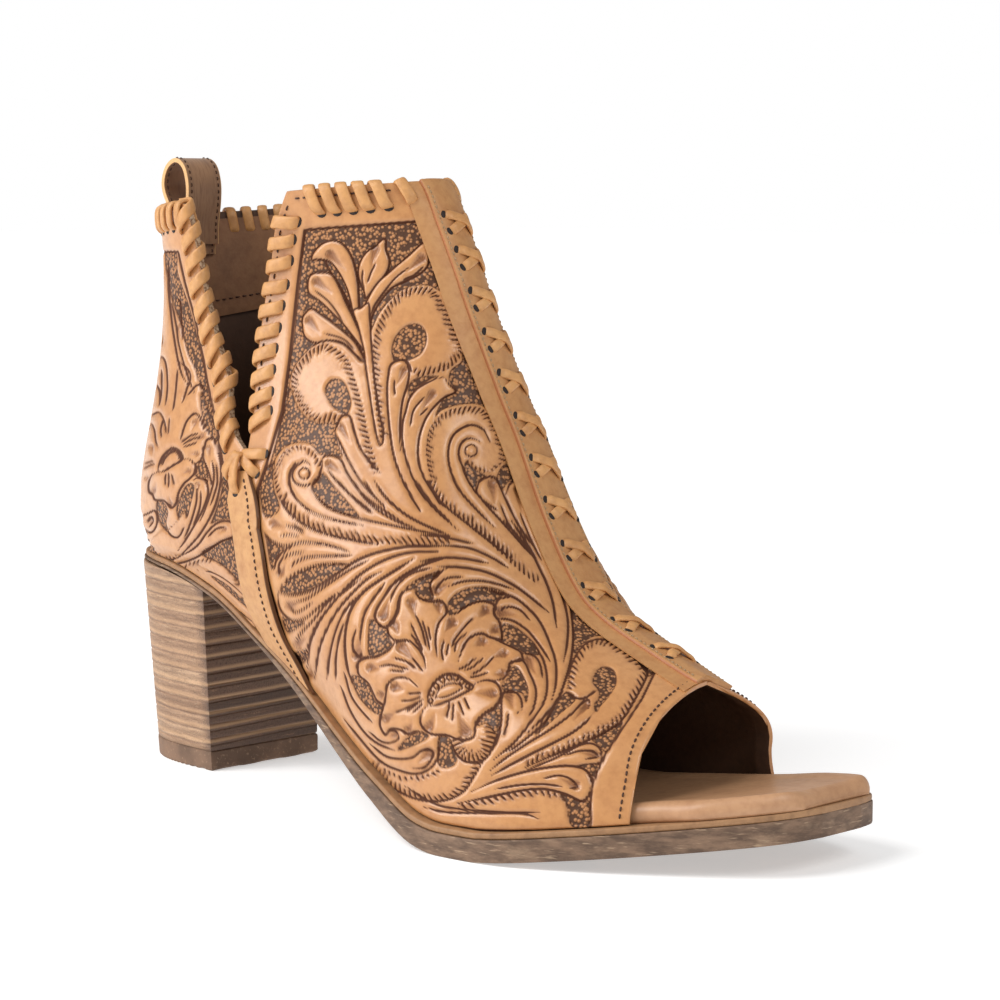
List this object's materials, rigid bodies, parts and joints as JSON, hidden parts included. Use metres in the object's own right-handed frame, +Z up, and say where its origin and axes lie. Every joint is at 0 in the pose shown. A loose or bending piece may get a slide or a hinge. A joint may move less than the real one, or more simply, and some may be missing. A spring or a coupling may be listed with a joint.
{
  "type": "heeled ankle boot",
  "caption": "Right peep-toe ankle boot with block heel, V notches at the sides, instep strip and pull loop.",
  "frame": {"origin": "middle of the heel's resting face on the floor", "axes": "+X from heel to toe, +Y to the wearer's left (inner side of this right boot), +Z up"},
  "size_m": [0.2444, 0.0862, 0.1776],
  "materials": {
    "tooled_leather": "semi gloss, tooled",
    "plain_leather": "semi gloss",
    "lining_leather": "satin",
    "rim_leather": "satin",
    "sole_edge": "satin",
    "stacked_heel": "satin",
    "heel_rubber": "matte"
  },
  "bodies": {
    "root": {"outsole": "sole_edge", "midsole": "rim_leather", "insole": "lining_leather", "heel": "stacked_heel", "heel_lift": "heel_rubber", "upper": "tooled_leather", "front_strip": "plain_leather", "side_strap_outer": "plain_leather", "side_strap_inner": "plain_leather", "pull_loop": "lining_leather"}
  },
  "joints": []
}
